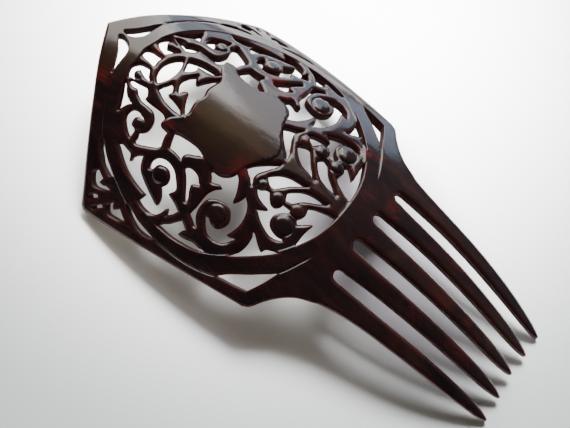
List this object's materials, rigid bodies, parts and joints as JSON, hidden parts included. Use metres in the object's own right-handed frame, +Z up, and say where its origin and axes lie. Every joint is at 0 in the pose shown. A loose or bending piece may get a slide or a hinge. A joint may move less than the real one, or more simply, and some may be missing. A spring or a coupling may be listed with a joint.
{
  "type": "back comb",
  "caption": "Back comb cut from curved sheet: a kite-shaped pierced heading of scrolls, leaves and a blank shield over long blunt tines.",
  "frame": {"origin": "middle of the bounding box, on the ground that the comb lies on", "axes": "+Y along the comb from the tines to the top point, +X across it, +Z up out of its rounded face"},
  "size_m": [0.0822, 0.1503, 0.0219],
  "materials": {
    "comb": "gloss"
  },
  "bodies": {
    "root": {"comb": "comb"}
  },
  "joints": []
}
